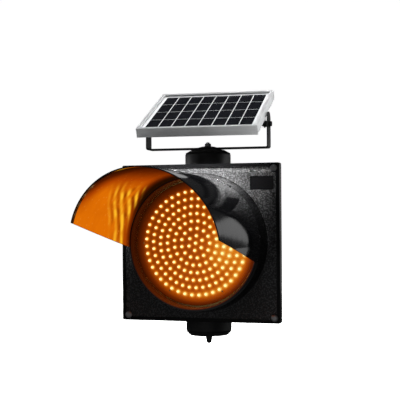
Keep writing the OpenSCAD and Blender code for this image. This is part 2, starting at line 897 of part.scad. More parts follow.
rear_shell();
front_door();
door_gasket();
door_screws();
visor();
visor_screws();
lens();
lens_gasket();
led_tray();
tray_screws();
led_standoffs();
led_board();
board_screws();
leds();
spigot_gaskets();
upper_cap();
lower_cap();
clamp_plates();
upper_bolt();
lower_bolt();
dome_washer();
upper_nut();
acorn_nut();
battery();
battery_terminals();
battery_cradle();
battery_strap();
cradle_screws();
controller_board();
controller_components();
terminal_block();
positive_leads();
negative_leads();
switch_body();
switch_rocker();
gland_body();
gland_nut();
gland_seal();
gland_locknut();
u_bracket();
pivot_bolts();
pivot_washers();
pivot_spacers();
pivot_nuts();
rail_front();
rail_rear();
rail_left();
rail_right();
corner_keys();
panel_glass();
solar_cells();
backsheet();
junction_box();
junction_lid();
junction_gland();
panel_lugs();
lug_screws();
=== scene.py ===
"""Looks for the solar flashing warning light: materials, detailed pieces, camera and light."""

import json
import math

import bmesh
import bpy
from mathutils import Matrix, Vector

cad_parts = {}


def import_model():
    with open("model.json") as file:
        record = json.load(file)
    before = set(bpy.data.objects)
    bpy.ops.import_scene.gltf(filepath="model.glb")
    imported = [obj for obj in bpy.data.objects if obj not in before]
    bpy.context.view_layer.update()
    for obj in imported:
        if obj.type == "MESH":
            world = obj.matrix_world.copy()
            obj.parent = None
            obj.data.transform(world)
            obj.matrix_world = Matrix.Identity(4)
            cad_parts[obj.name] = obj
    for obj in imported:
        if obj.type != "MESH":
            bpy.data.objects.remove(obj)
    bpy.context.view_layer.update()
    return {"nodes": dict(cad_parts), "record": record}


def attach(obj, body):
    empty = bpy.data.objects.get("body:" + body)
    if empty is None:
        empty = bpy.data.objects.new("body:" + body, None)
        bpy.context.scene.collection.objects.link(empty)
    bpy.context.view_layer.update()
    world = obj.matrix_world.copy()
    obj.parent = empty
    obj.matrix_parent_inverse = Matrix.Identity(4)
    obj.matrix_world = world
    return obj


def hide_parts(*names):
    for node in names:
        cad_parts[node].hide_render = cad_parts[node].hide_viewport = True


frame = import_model()
NODES = frame["nodes"]
BODY = {n: b for b, ns in frame["record"]["behaviour"]["bodies"].items() for n in ns}

# ---------------------------------------------------------------- dimensions, metres
NECK_Y = 0.066          # spigot axis behind the door face
LENS_Z = 0.196          # lens centre above the origin
YAW = math.radians(4)   # the bracket's swivel at rest
TILT = math.radians(24.5)   # the panel's tilt at rest
PIVOT_Z = 0.262 + LENS_Z

# the door's face, as half sizes inside its raised rim, and its blank plate recess
FACE_HALF_X, FACE_HALF_Z = 0.1722, 0.1642
PLATE_X, PLATE_HALF_X = 0.1405, 0.0262
PLATE_Z, PLATE_HALF_Z = 0.1287, 0.0145

COLLAR = 0.052          # how far the collar stands out of the door
COLLAR_BASE_R = 0.1525
COLLAR_R = 0.1462       # outer radius at the visor's seat
LIP_R, LIP_EDGE_R = 0.1392, 0.1428  # the collar's front lip, which the LEDs light
SEAT = 0.012            # length of the visor's seat on the collar

VISOR_LEN = 0.326
VISOR_TIP_R = 0.1515
VISOR_SEAT_R = 0.14304  # inner radius round the collar
VISOR_BORE_R = 0.1438   # inner radius just in front of the collar
VISOR_RAKE = 0.029      # the front edge slopes back this far over RAKE_HEIGHT
RAKE_HEIGHT = 0.151
VISOR_LOW = -0.025      # the lower edge at the base and at the tip
VISOR_HIGH = 0.0305
VISOR_T = 0.0024
VISOR_TURN = math.radians(6.5)
RIM_FROM = 0.972        # share of the visor's length where its dark front edge starts

RING_STEP = 0.016
RINGS = ((1, 0), (6, 23), (13, 0), (20, -7), (27, -6.6), (34, 1.4), (39, 2.7), (44, 3.6))
FLANGE_R = 0.0026
DOME_R = 0.0024
DOME_H = 0.0027
DOME_FROM, DOME_TIP = -0.0328, -0.0355
BOARD_R = 0.1345
BOARD_FACE, BOARD_BACK = -0.0286, -0.027


def head(x, y, z):
    """A point given from the lens centre on the door face, in the row frame."""
    return Vector((x, y - NECK_Y, z + LENS_Z))


def led_points():
    """Each LED's place from the lens centre. A ring is its number of LEDs and the first one's angle."""
    points = []
    for k, (count, phase) in enumerate(RINGS):
        for i in range(count):
            a = math.radians(phase + 360 * i / count)
            points.append((k * RING_STEP * math.cos(a), k * RING_STEP * math.sin(a)))
    return points


LED_POINTS = led_points()


# ---------------------------------------------------------------- node helpers
class Mat:
    """A node material round one Principled shader."""

    def __init__(self, name, color, rough, metallic=0.0, **sockets):
        self.material = bpy.data.materials.new(name)
        self.material.use_nodes = True
        self.tree = self.material.node_tree
        self.tree.nodes.clear()
        out = self.add("OutputMaterial")
        self.shader = self.add("BsdfPrincipled")
        self.put(out.inputs[0], self.shader.outputs[0])
        self.set("Base Color", (*color, 1))
        self.set("Roughness", rough)
        self.set("Metallic", metallic)
        for k, v in sockets.items():
            self.set(k.replace("_", " "), v)
        self.coord = self.add("TexCoord").outputs["Object"]

    def add(self, kind, **props):
        n = self.tree.nodes.new("ShaderNode" + kind)
        for k, v in props.items():
            setattr(n, k, v)
        return n

    def put(self, socket, value):
        if hasattr(value, "is_output"):
            self.tree.links.new(value, socket)
        else:
            socket.default_value = value

    def set(self, name, value):
        self.put(self.shader.inputs[name], value)

    def move(self, vec=None, scale=(1, 1, 1), loc=(0, 0, 0), rot=(0, 0, 0)):
        n = self.add("Mapping")
        self.put(n.inputs["Vector"], vec or self.coord)
        n.inputs["Scale"].default_value = scale
        n.inputs["Location"].default_value = loc
        n.inputs["Rotation"].default_value = rot
        return n.outputs[0]

    def noise(self, scale, detail, rough, vec=None):
        n = self.add("TexNoise")
        self.put(n.inputs["Vector"], vec or self.coord)
        n.inputs["Scale"].default_value = scale
        n.inputs["Detail"].default_value = detail
        n.inputs["Roughness"].default_value = rough
        return n.outputs["Fac"]

    def cells(self, scale):
        n = self.add("TexVoronoi")
        self.put(n.inputs["Vector"], self.coord)
        n.inputs["Scale"].default_value = scale
        return n.outputs["Distance"]

    def ramp(self, fac, *stops):
        """A colour ramp. A stop is its position and a grey or a colour."""
        n = self.add("ValToRGB")
        e = n.color_ramp.elements
        for i, (pos, col) in enumerate(stops):
            s = e[i] if i < 2 else e.new(pos)
            s.position = pos
            s.color = (col, col, col, 1) if isinstance(col, (int, float)) else (*col, 1)
        self.put(n.inputs[0], fac)
        return n.outputs[0]

    def math(self, op, a, b=0.0):
        n = self.add("Math", operation=op)
        for s, v in zip(n.inputs, (a, b)):
            self.put(s, v)
        return n.outputs[0]

    def times(self, first, *others):
        """The product of two or more values."""
        for other in others:
            first = self.math("MULTIPLY", first, other)
        return first

    def plus(self, a, b):
        return self.math("ADD", a, b)

    def minus(self, a, b):
        return self.math("SUBTRACT", a, b)

    def invert(self, a):
        return self.minus(1.0, a)

    def within(self, value, half):
        """1 where the value lies less than half away from zero."""
        return self.math("LESS_THAN", self.math("ABSOLUTE", value), half)

    def mix(self, fac, a, b):
        """A colour mix: sockets 0, 6 and 7 are its factor and colours, output 2 its result."""
        n = self.add("Mix", data_type="RGBA", blend_type="MIX")
        for s, v in zip((n.inputs[0], n.inputs[6], n.inputs[7]), (fac, a, b)):
            if isinstance(v, tuple) and len(v) == 3:
                v = (*v, 1)
            self.put(s, v)
        return n.outputs[2]

    def smooth(self, value, a, b):
        """0 below a, 1 above b, and a soft step between."""
        n = self.add("MapRange", interpolation_type="SMOOTHSTEP")
        for s, v in zip((n.inputs[0], n.inputs[1], n.inputs[2]), (value, a, b)):
            self.put(s, v)
        return n.outputs[0]

    def lerp(self, fac, a, b):
        """From a to b as the factor goes from 0 to 1."""
        n = self.add("MapRange")
        for s, v in zip((n.inputs[0], n.inputs[3], n.inputs[4]), (fac, a, b)):
            self.put(s, v)
        return n.outputs[0]

    def axes(self, vec):
        n = self.add("SeparateXYZ")
        self.put(n.inputs[0], vec)
        return n.outputs

    def bump(self, height, strength, distance):
        n = self.add("Bump")
        self.put(n.inputs["Height"], height)
        n.inputs["Strength"].default_value = strength
        n.inputs["Distance"].default_value = distance
        self.set("Normal", n.outputs[0])

    def emit(self, color, strength):
        self.set("Emission Color", (*color, 1) if isinstance(color, tuple) else color)
        self.set("Emission Strength", strength)


def panel_coord(m):
    """Object coordinates turned into the tilted panel's own frame, from the pivot."""
    a = m.move(loc=(0, 0, -PIVOT_Z))
    b = m.move(a, rot=(0, 0, -YAW))
    return m.move(b, rot=(-TILT, 0, 0))


# ---------------------------------------------------------------- materials
def grained(name, color, rough, grain, depth, patch=0.25, spec=0.4):
    """Moulded plastic: a fine grain, and slow changes of tone and gloss."""
    m = Mat(name, color, rough, Specular_IOR_Level=spec)
    dark = tuple(v * (1 - patch) for v in color)
    pale = tuple(v * (1 + patch) for v in color)
    m.set("Base Color", m.ramp(m.noise(9, 4, 0.6), (0.3, dark), (0.7, pale)))
    m.set("Roughness", m.lerp(m.noise(40, 4, 0.7), rough - 0.08, rough + 0.1))
    m.bump(m.noise(grain, 3, 0.6), 0.5, depth)
    return m


def door_material():
    """Coarse spark-textured face with painted glints on its grain, and smooth collar, rim and plate
    recess.
    """
    m = Mat("door_textured_black", (0.018, 0.018, 0.019), 0.4, Specular_IOR_Level=0.5)
    x, _, z = m.axes(m.move(loc=(0, NECK_Y, -LENS_Z)))
    r = m.math("SQRT", m.plus(m.times(x, x), m.times(z, z)))
    within_rim = m.times(m.within(x, FACE_HALF_X), m.within(z, FACE_HALF_Z))
    plate_x = m.within(m.minus(x, PLATE_X), PLATE_HALF_X)
    plate_z = m.within(m.minus(z, PLATE_Z), PLATE_HALF_Z)
    off_plate = m.invert(m.times(plate_x, plate_z))
    face = m.times(m.math("GREATER_THAN", r, COLLAR_BASE_R), within_rim, off_plate)
    spark_grain_and_glints = m.times(m.ramp(m.noise(300, 1.5, 0.6), (0.49, 0.0), (0.58, 1.0)), face)
    fine = m.times(m.noise(1500, 2, 0.5), m.lerp(face, 0.02, 0.1))
    m.bump(m.plus(spark_grain_and_glints, fine), 0.8, 0.0005)
    slow = m.noise(7, 4, 0.6)
    tone = m.ramp(slow, (0.3, (0.003, 0.003, 0.0033)), (0.7, (0.006, 0.006, 0.0065)))
    # the pale specks on the grain are painted glints, lit by the glare lamp
    m.set("Base Color", m.mix(spark_grain_and_glints, tone, (0.07, 0.07, 0.072)))
    m.set("Roughness", m.plus(m.lerp(face, 0.14, 0.38), m.times(m.noise(55, 4, 0.7), 0.12)))
    # the LEDs' warm light on the collar's lip, strongest low on the right
    lit_edge = m.invert(m.smooth(r, LIP_R, LIP_EDGE_R))
    gloss = m.lerp(within_rim, 0.1, 0.5)
    m.set("Specular IOR Level", m.times(gloss, m.lerp(lit_edge, 1.0, 0.08)))
    low_right = m.lerp(m.smooth(m.minus(x, z), -0.14, 0.16), 0.4, 1.0)
    m.emit(m.mix(m.times(lit_edge, low_right), (0.0, 0.0, 0.0), (0.1, 0.0125, 0.0005)), 1.0)
    return m


def metal(name, color, rough, streaks=None, metallic=1.0):
    """Metal with fine streaks along one axis, or an even plated grain."""
    m = Mat(name, color, rough, metallic)
    if streaks:
        fine = m.noise(1.0, 4, 0.65, m.move(panel_coord(m), scale=streaks))
    else:
        fine = m.noise(900, 4, 0.65)
    tone = m.times(m.plus(fine, m.noise(25, 3, 0.5)), 0.5)
    dark = tuple(v * 0.8 for v in color)
    m.set("Base Color", m.ramp(tone, (0.35, dark), (0.65, color)))
    m.set("Roughness", m.lerp(fine, rough - 0.07, rough + 0.1))
    m.bump(fine, 0.35, 0.00004)
    return m


def powder(name, color):
    """Powder-coated steel: orange peel, and paler wear in spots."""
    rough = 0.42
    m = Mat(name, color, rough, Specular_IOR_Level=0.5)
    wear = m.ramp(m.noise(120, 5, 0.75), (0.68, 0.0), (0.8, 1.0))
    m.set("Base Color", m.mix(wear, color, tuple(min(1, v * 3 + 0.01) for v in color)))
    m.set("Roughness", m.lerp(m.noise(60, 3, 0.6), rough - 0.08, rough + 0.12))
    m.bump(m.noise(700, 2, 0.5), 0.35, 0.0002)
    return m


def visor_outside():
    """Smooth glossy black plastic, slightly uneven."""
    m = Mat("visor_gloss_black", (0.012, 0.012, 0.013), 0.12, Specular_IOR_Level=0.28)
    slow = m.noise(14, 4, 0.6)
    m.set("Base Color", m.ramp(slow, (0.3, (0.003, 0.003, 0.0035)), (0.7, (0.006, 0.006, 0.007))))
    m.set("Roughness", m.lerp(m.noise(30, 5, 0.7), 0.03, 0.13))
    m.bump(m.noise(17, 2, 0.5), 0.1, 0.0014)
    return m


def visor_inside():
    """The visor's inside, with the LEDs' orange light on it painted as a glow, and painted wavy streaks
    of their reflections near the lens.
    """
    m = Mat("visor_lit_inside", (0.008, 0.003, 0.001), 0.3, Specular_IOR_Level=0.0)
    _, y, z = m.axes(m.move(loc=(0, NECK_Y + COLLAR, -LENS_Z)))
    depth = m.times(y, -1 / VISOR_LEN)          # 0 at the collar's front, 1 at the tip
    up = m.times(z, 1 / VISOR_TIP_R)            # 1 at the crown

    # the painted light on the wall, with painted shade at the crown, near the collar and along the
    # crown's front edge
    crown = m.invert(m.smooth(m.plus(up, m.times(depth, 0.07)), 0.7, 1.14))
    edge = m.times(m.smooth(depth, 0.72, 0.98), m.smooth(up, 0.35, 0.75))
    crown = m.times(crown, m.invert(m.times(edge, 0.8)))
    shade = m.times(m.smooth(up, 0.3, 0.85), 0.13)
    near = m.smooth(m.minus(depth, shade), -0.06, 0.2)
    # tone is the painted light's level here, with a slow random wobble
    tone = m.times(near, crown, m.lerp(m.noise(26, 4, 0.65), 0.84, 1.1))
    wall = m.ramp(tone, (0.0, (0.012, 0.003, 0.0)), (0.2, (0.1, 0.011, 0.0)),
                  (0.55, (0.42, 0.056, 0.0004)), (1.0, (0.75, 0.162, 0.0012)))

    # the streaks are painted reflections of the LEDs, as wavy rings round the visor, further forward
    # towards the crown, with painted shade in their troughs
    streak_step = 0.105
    rise = m.math("POWER", m.math("MAXIMUM", up, 0.0), 2.0)
    forward = m.minus(depth, m.times(rise, 0.62))
    warp = m.times(m.minus(m.noise(13, 1, 0.4), 0.5), 0.1)
    wave = m.math("SINE", m.times(m.plus(forward, warp), 2 * math.pi / streak_step))
    wave = m.plus(m.times(wave, 0.5), 0.5)
    patchy = m.ramp(m.noise(21, 2, 0.5), (0.36, 0.1), (0.6, 1.0))
    zone = m.times(m.invert(m.smooth(forward, 0.16, 0.4)), m.smooth(forward, -0.3, -0.12))
    zone = m.times(zone, m.invert(m.smooth(up, 0.62, 0.9)), m.smooth(depth, 0.05, 0.14))
    trough = m.times(m.invert(wave), m.times(zone, 0.85), patchy)
    wall = m.mix(trough, wall, (0.19, 0.022, 0.0))
    peak = m.times(m.math("POWER", wave, 1.8), m.times(zone, patchy))
    peak = m.times(peak, m.times(m.math("POWER", crown, 2.5), 1.3))
    wall = m.mix(m.math("MINIMUM", peak, 1.0), wall, (1.0, 0.5, 0.02))

    # small bright dots painted into the glow, stronger where the painted light is brighter
    dots = m.ramp(m.cells(85), (0.08, 1.0), (0.2, 0.0))
    wall = m.mix(m.times(dots, tone, 0.3), wall, (1.0, 0.38, 0.05))
    m.emit(wall, 1.0)
    m.bump(m.noise(40, 2, 0.5), 0.05, 0.0006)
    return m


def clear_lens():
    m = Mat("lens_clear", (0.1, 0.03, 0.005), 0.05, Alpha=0.1)
    m.bump(m.noise(260, 2, 0.5), 0.15, 0.0002)
    m.set("Roughness", m.lerp(m.noise(50, 3, 0.6), 0.04, 0.14))
    return m


def panel_glass():
    m = Mat("panel_glass", (0.01, 0.012, 0.015), 0.05, Alpha=0.06)
    m.set("Roughness", m.lerp(m.noise(70, 4, 0.7), 0.03, 0.16))
    m.bump(m.noise(500, 2, 0.5), 0.05, 0.00005)
    return m


def lit_board():
    """The circuit board between the LEDs, glowing round each one."""
    m = Mat("led_board_lit", (0.03, 0.008, 0.002), 0.6, Specular_IOR_Level=0.1)
    glow = m.add("Attribute", attribute_name="glow").outputs["Fac"]
    specks = m.times(m.minus(m.noise(420, 3, 0.7), 0.5), m.times(glow, 0.5))
    light = m.ramp(m.plus(glow, specks), (0.0, (0.012, 0.003, 0.0)), (0.2, (0.16, 0.019, 0.0)),
                   (0.45, (0.5, 0.082, 0.0008)), (0.7, (0.9, 0.27, 0.01)), (1.0, (1.0, 0.68, 0.18)))
    m.emit(light, 1.0)
    m.bump(m.noise(300, 3, 0.6), 0.3, 0.0004)
    return m


def lit_led():
    """A lit LED, palest at its tip."""
    m = Mat("led_lit", (1.0, 0.7, 0.25), 0.25)
    y = m.axes(m.move(loc=(0, NECK_Y, 0)))[1]
    to_tip = m.smooth(m.times(y, -1.0), -BOARD_FACE, 0.0352)
    core = m.ramp(to_tip, (0.0, (1.0, 0.45, 0.05)), (0.3, (1.0, 0.75, 0.3)), (1.0, (1.0, 0.84, 0.42)))
    m.emit(core, 1.55)
    m.bump(m.noise(900, 2, 0.5), 0.1, 0.0001)
    return m


def solar_cell():
    """Near-black silicon with fine fingers across it."""
    m = Mat("solar_cell", (0.01, 0.012, 0.022), 0.16, Specular_IOR_Level=0.25)
    finger_step = 0.00105
    on_panel = panel_coord(m)
    finger = m.math("PINGPONG", m.axes(on_panel)[1], finger_step)
    line = m.ramp(m.times(finger, 1000), (0.0, 1.0), (0.16, 0.0))
    grain = m.noise(60, 5, 0.7, m.move(on_panel, scale=(1, 0.4, 1)))
    tint = m.ramp(grain, (0.3, (0.003, 0.0033, 0.0045)), (0.7, (0.005, 0.0055, 0.0085)))
    m.set("Base Color", m.mix(m.times(line, 0.06), tint, (0.2, 0.2, 0.21)))
    m.set("Roughness", m.lerp(grain, 0.12, 0.22))
    return m


def build_materials():
    streaks_x, streaks_y = (12, 900, 900), (900, 12, 900)
    mats = {
        "door": door_material(),
        "shell": grained("shell_matt_black", (0.016, 0.016, 0.017), 0.5, 900, 0.00025),
        "cap": grained("cap_matt_black", (0.013, 0.013, 0.013), 0.48, 700, 0.0003),
        "visor_out": visor_outside(),
        "visor_in": visor_inside(),
        "rubber": grained("rubber_black", (0.012, 0.012, 0.012), 0.72, 1100, 0.0002, spec=0.25),
        "lens": clear_lens(),
        "zinc": metal("zinc_plated", (0.62, 0.63, 0.64), 0.32),
        "stainless": metal("stainless_steel", (0.4, 0.4, 0.41), 0.25),
        "screw": metal("screw_zinc", (0.5, 0.5, 0.51), 0.4),
        "black_steel": powder("powder_coat_black", (0.014, 0.014, 0.015)),
        "alu_x": metal("aluminium_brushed_x", (0.74, 0.75, 0.76), 0.36, streaks_x, 0.6),
        "alu_y": metal("aluminium_brushed_y", (0.78, 0.79, 0.8), 0.36, streaks_y, 0.6),
        "glass": panel_glass(),
        "backsheet": grained("backsheet_white", (0.78, 0.79, 0.8), 0.5, 500, 0.0001, patch=0.04),
        "board": lit_board(),
        "led": lit_led(),
        "brass": metal("brass_plain", (0.72, 0.5, 0.2), 0.3),
        "battery": grained("battery_case", (0.05, 0.055, 0.06), 0.45, 500, 0.0002),
        "component": grained("component_black", (0.02, 0.02, 0.022), 0.38, 800, 0.0001),
        "tray": grained("tray_grey", (0.5, 0.5, 0.5), 0.55, 700, 0.0002, patch=0.08),
        "pcb": grained("circuit_board_green", (0.02, 0.16, 0.07), 0.4, 600, 0.0001),
        "terminal": grained("terminal_green", (0.02, 0.25, 0.1), 0.4, 800, 0.0001),
        "red_wire": grained("wire_red", (0.55, 0.02, 0.015), 0.4, 900, 0.0001),
        "black_wire": grained("wire_black", (0.02, 0.02, 0.02), 0.4, 900, 0.0001),
        "rocker": grained("rocker_red", (0.5, 0.015, 0.012), 0.28, 900, 0.00008),
        "cell": solar_cell(),
    }
    return {name: m.material for name, m in mats.items()}


MATS = build_materials()


# ---------------------------------------------------------------- pieces
def finish_piece(name, bm, mats, body, nodes, smooth=30):
    """A mesh made into a piece that rides on a body and stands for CAD nodes."""
    me = bpy.data.meshes.new(name)
    bm.to_mesh(me)
    bm.free()
    ob = bpy.data.objects.new(name, me)
    bpy.context.scene.collection.objects.link(ob)
    for m in mats:
        me.materials.append(m)
    for p in me.polygons:
        p.use_smooth = True
    me.set_sharp_from_angle(angle=math.radians(smooth))
    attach(ob, body)
    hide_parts(*nodes)
    return ob


def round_arrises(ob, width, angle):
    b = ob.modifiers.new("arris", "BEVEL")
    b.width = width
    b.segments = 2
    b.limit_method = "ANGLE"
    b.angle_limit = math.radians(angle)
    return b


def soften(node, mat, width):
    """A CAD node's own shape, with its arrises rounded over."""
    bm = bmesh.new()
    bm.from_mesh(NODES[node].data)
    bmesh.ops.remove_doubles(bm, verts=bm.verts, dist=1e-6)
    bmesh.ops.dissolve_limit(bm, angle_limit=math.radians(0.8), verts=bm.verts, edges=bm.edges)
    ob = finish_piece(node + "_piece", bm, [mat], BODY[node], [node])
    b = round_arrises(ob, width, 38)
    b.use_clamp_overlap = True
    b.harden_normals = True
    b.miter_outer = "MITER_ARC"


def paint(node, mat):
    """A material on a CAD node that keeps its own mesh."""
    me = NODES[node].data
    me.materials.clear()
    me.materials.append(mat)


def visor_radius(y, inner):
    """The visor's radius at a depth: a cone outside, and inside a bore that follows it."""
    back, tip = -COLLAR + SEAT, -COLLAR - VISOR_LEN - 0.004
    bore_back, bore_tip = -COLLAR - 0.004, -COLLAR - VISOR_LEN - 0.005
    if not inner:
        s = (back - y) / (back - tip)
        return COLLAR_R + (VISOR_TIP_R - COLLAR_R) * s
    if y > bore_back:
        return VISOR_SEAT_R
    widening = VISOR_TIP_R - VISOR_T - VISOR_BORE_R
    return VISOR_BORE_R + widening * (bore_back - y) / (bore_back - bore_tip)


def visor_front(z):
    """Where the raked front edge lies at a height."""
    return -COLLAR - VISOR_LEN + VISOR_RAKE * (1 - z / RAKE_HEIGHT)


def visor_low(y):
    """How high the cut lower edge lies at a depth."""
    y_low, y_tip = -COLLAR + 0.002, visor_front(VISOR_HIGH)
    if y > y_low:
        return VISOR_LOW
    return VISOR_LOW + (VISOR_HIGH - VISOR_LOW) * (y_low - y) / (y_low - y_tip)


def visor_point(u, v, inner):
    """A point on the visor: u goes round from edge to edge, v from the back to the front edge.

    The edges depend on the point's own depth and height, so it is found by repeated steps.
    """
    back = -COLLAR + SEAT
    t, r = math.pi / 2, VISOR_TIP_R
    for _ in range(14):
        y = back + (visor_front(r * math.sin(t)) - back) * v
        r = visor_radius(y, inner)
        s = max(-0.99, min(0.99, visor_low(y) / r))
        t0 = math.asin(s)
        t = t0 + (math.pi - 2 * t0) * u
    y = back + (visor_front(r * math.sin(t)) - back) * v
    turn = Matrix.Rotation(VISOR_TURN, 3, "Y")
    return head(*(turn @ Vector((r * math.cos(t), y, r * math.sin(t)))))


def visor():
    """The visor's shell: a smooth cone cut by its lower edges and raked front."""
    bm = bmesh.new()
    around, along = 132, 60
    lit_from = 0.045        # share of the length where the lit inside starts, past the collar
    # the rows are closer over the collar, where the bore steps, and at the dark front edge
    vs = [0, 0.018, 0.036, 0.046, 0.0478]
    vs += [0.05 + (RIM_FROM - 0.05) * (i / (along - 1)) for i in range(along)]
    vs += [0.985, 1.0]
    walls = []
    for inner in (False, True):
        points = [[visor_point(i / around, v, inner) for i in range(around + 1)] for v in vs]
        walls.append([[bm.verts.new(p) for p in row] for row in points])
    for inner, wall in enumerate(walls):
        for j in range(len(vs) - 1):
            for i in range(around):
                quad = [wall[j][i], wall[j][i + 1], wall[j + 1][i + 1], wall[j + 1][i]]
                f = bm.faces.new(quad[::-1] if inner else quad)
                f.material_index = 1 if inner and lit_from <= vs[j] < RIM_FROM else 0
    o, q = walls
    for j in range(len(vs) - 1):
        bm.faces.new([o[j][0], o[j + 1][0], q[j + 1][0], q[j][0]])
        bm.faces.new([o[j][-1], q[j][-1], q[j + 1][-1], o[j + 1][-1]])
    for i in range(around):
        bm.faces.new([o[0][i], q[0][i], q[0][i + 1], o[0][i + 1]])
        bm.faces.new([o[-1][i], o[-1][i + 1], q[-1][i + 1], q[-1][i]])
    bmesh.ops.recalc_face_normals(bm, faces=bm.faces)
    mats = [MATS["visor_out"], MATS["visor_in"]]
    ob = finish_piece("visor_shell", bm, mats, "head", ["visor"], 40)
    round_arrises(ob, 0.0007, 50)


def led_field():
    """Every LED as a flanged epoxy dome."""
    bm = bmesh.new()
    sides = 14
    profile = [(FLANGE_R, BOARD_FACE), (FLANGE_R, -0.0292), (DOME_R, -0.0293), (DOME_R, DOME_FROM)]
    profile += [(DOME_R * math.cos(a), DOME_FROM - DOME_H * math.sin(a))
                for a in (math.radians(d) for d in (20, 40, 60, 78))]
    turns = [2 * math.pi * i / sides for i in range(sides)]
    for cx, cz in LED_POINTS:
        rings = []
        for r, y in profile:
            rings.append([bm.verts.new(head(cx + r * math.cos(a), y, cz + r * math.sin(a)))
                          for a in turns])
        tip = bm.verts.new(head(cx, DOME_TIP, cz))
        for a, b in zip(rings, rings[1:]):
            for i in range(sides):
                bm.faces.new([a[i], b[i], b[(i + 1) % sides], a[(i + 1) % sides]])
        for i in range(sides):
            bm.faces.new([rings[-1][i], tip, rings[-1][(i + 1) % sides]])
        bm.faces.new(rings[0])
    bmesh.ops.recalc_face_normals(bm, faces=bm.faces)
    finish_piece("led_domes", bm, [MATS["led"]], "head", ["leds"], 50)


def led_glow(x, z):
    """How brightly the LEDs light the board at a point, strongest low on the right."""
    reach, near_width, far_width = 0.03, 0.0027, 0.011
    hot_x, hot_z, hot_width = 0.068, -0.012, 0.03
    near = far = 0.0
    for cx, cz in LED_POINTS:
        d2 = (x - cx) ** 2 + (z - cz) ** 2
        if d2 < reach ** 2:
            near += math.exp(-d2 / (2 * near_width ** 2))
            far += math.exp(-d2 / (2 * far_width ** 2))
    hot = math.exp(-((x - hot_x) ** 2 + (z - hot_z) ** 2) / (2 * hot_width ** 2))
    side = 0.5 + 0.5 * (x - z) / 0.19
    return min(1.0, 1.05 * near + far * (0.078 + 0.07 * side + 0.09 * hot))


def rim_glow(x, z, r):
    """The light that spreads past the outermost ring, strongest low on the right."""
    start_r, fade, peak_r, half_width = 0.1, 0.012, 0.112, 0.0245
    if r <= start_r:
        return 0.0
    side = 0.5 + 0.5 * (0.64 * x - 0.77 * z) / r
    light = (0.06 + 0.22 * side) * max(0.0, 1.0 - ((r - peak_r) / half_width) ** 2)
    return light * min(1.0, (r - start_r) / fade)


def led_board():
    """The round board, fine enough to carry the glow round each LED."""
    bm = bmesh.new()
    layer = bm.verts.layers.float_color.new("glow")
    rings, sides = 84, 300
    rows = []
    for j in range(1, rings + 1):
        r = BOARD_R * j / rings
        row = []
        for i in range(sides):
            a = 2 * math.pi * i / sides
            x, z = r * math.cos(a), r * math.sin(a)
            v = bm.verts.new(head(x, BOARD_FACE, z))
            g = led_glow(x, z) + rim_glow(x, z, r)
            v[layer] = (g, g, g, 1)
            row.append(v)
        rows.append(row)
    centre = bm.verts.new(head(0, BOARD_FACE, 0))
    centre[layer] = (0.8, 0.8, 0.8, 1)
    back = [bm.verts.new(head(v.co.x, BOARD_BACK, v.co.z - LENS_Z)) for v in rows[-1]]
    for a, b in zip(rows, rows[1:]):
        for i in range(sides):
            bm.faces.new([a[i], a[(i + 1) % sides], b[(i + 1) % sides], b[i]])
    for i in range(sides):
        j = (i + 1) % sides
        bm.faces.new([centre, rows[0][j], rows[0][i]])
        bm.faces.new([rows[-1][i], rows[-1][j], back[j], back[i]])
    bm.faces.new(back)
    bmesh.ops.recalc_face_normals(bm, faces=bm.faces)
    finish_piece("led_board_face", bm, [MATS["board"]], "head", ["led_board"])


visor()
led_field()
led_board()

# CAD nodes that get rounded arrises: material and width of the rounding
SOFT = {
    "front_door": ("door", 0.0009),
    "upper_cap": ("cap", 0.0012),
    "lower_cap": ("cap", 0.0012),
    "dome_washer": ("black_steel", 0.0005),
    "upper_nut": ("stainless", 0.0005),
    "upper_bolt": ("stainless", 0.0003),
    "acorn_nut": ("black_steel", 0.0005),
    "u_bracket": ("black_steel", 0.0005),
    "pivot_bolts": ("black_steel", 0.0004),
    "pivot_washers": ("black_steel", 0.0003),
    "pivot_spacers": ("black_steel", 0.0003),
    "pivot_nuts": ("black_steel", 0.0004),
    "door_screws": ("screw", 0.0005),
    "rail_front": ("alu_x", 0.0004),
    "rail_rear": ("alu_x", 0.0004),
    "rail_left": ("alu_y", 0.0004),
    "rail_right": ("alu_y", 0.0004),
    "junction_box": ("component", 0.0008),
    "junction_lid": ("component", 0.0006),
    "junction_gland": ("component", 0.0004),
    "panel_lugs": ("black_steel", 0.0004),
    "lug_screws": ("zinc", 0.0003),
    "switch_body": ("component", 0.0006),
    "switch_rocker": ("rocker", 0.0005),
    "gland_body": ("component", 0.0005),
    "gland_nut": ("component", 0.0005),
    "spigot_gaskets": ("rubber", 0.0002),
}
# CAD nodes that keep their own mesh
PLAIN = {
    "rear_shell": "shell",
    "door_gasket": "rubber",
    "visor_screws": "black_steel",
    "lens": "lens",
    "lens_gasket": "rubber",
    "led_tray": "tray",
    "tray_screws": "zinc",
    "led_standoffs": "brass",
    "board_screws": "brass",
    "clamp_plates": "zinc",
    "lower_bolt": "stainless",
    "battery": "battery",
    "battery_terminals": "brass",
    "battery_cradle": "zinc",
    "battery_strap": "component",
    "cradle_screws": "zinc",
    "controller_board": "pcb",
    "controller_components": "component",
    "terminal_block": "terminal",
    "positive_leads": "red_wire",
    "negative_leads": "black_wire",
    "gland_seal": "rubber",
    "gland_locknut": "component",
    "corner_keys": "alu_x",
    "panel_glass": "glass",
    "solar_cells": "cell",
    "backsheet": "backsheet",
}
for node, (mat, width) in SOFT.items():
    soften(node, MATS[mat], width)
for node, mat in PLAIN.items():
    paint(node, MATS[mat])


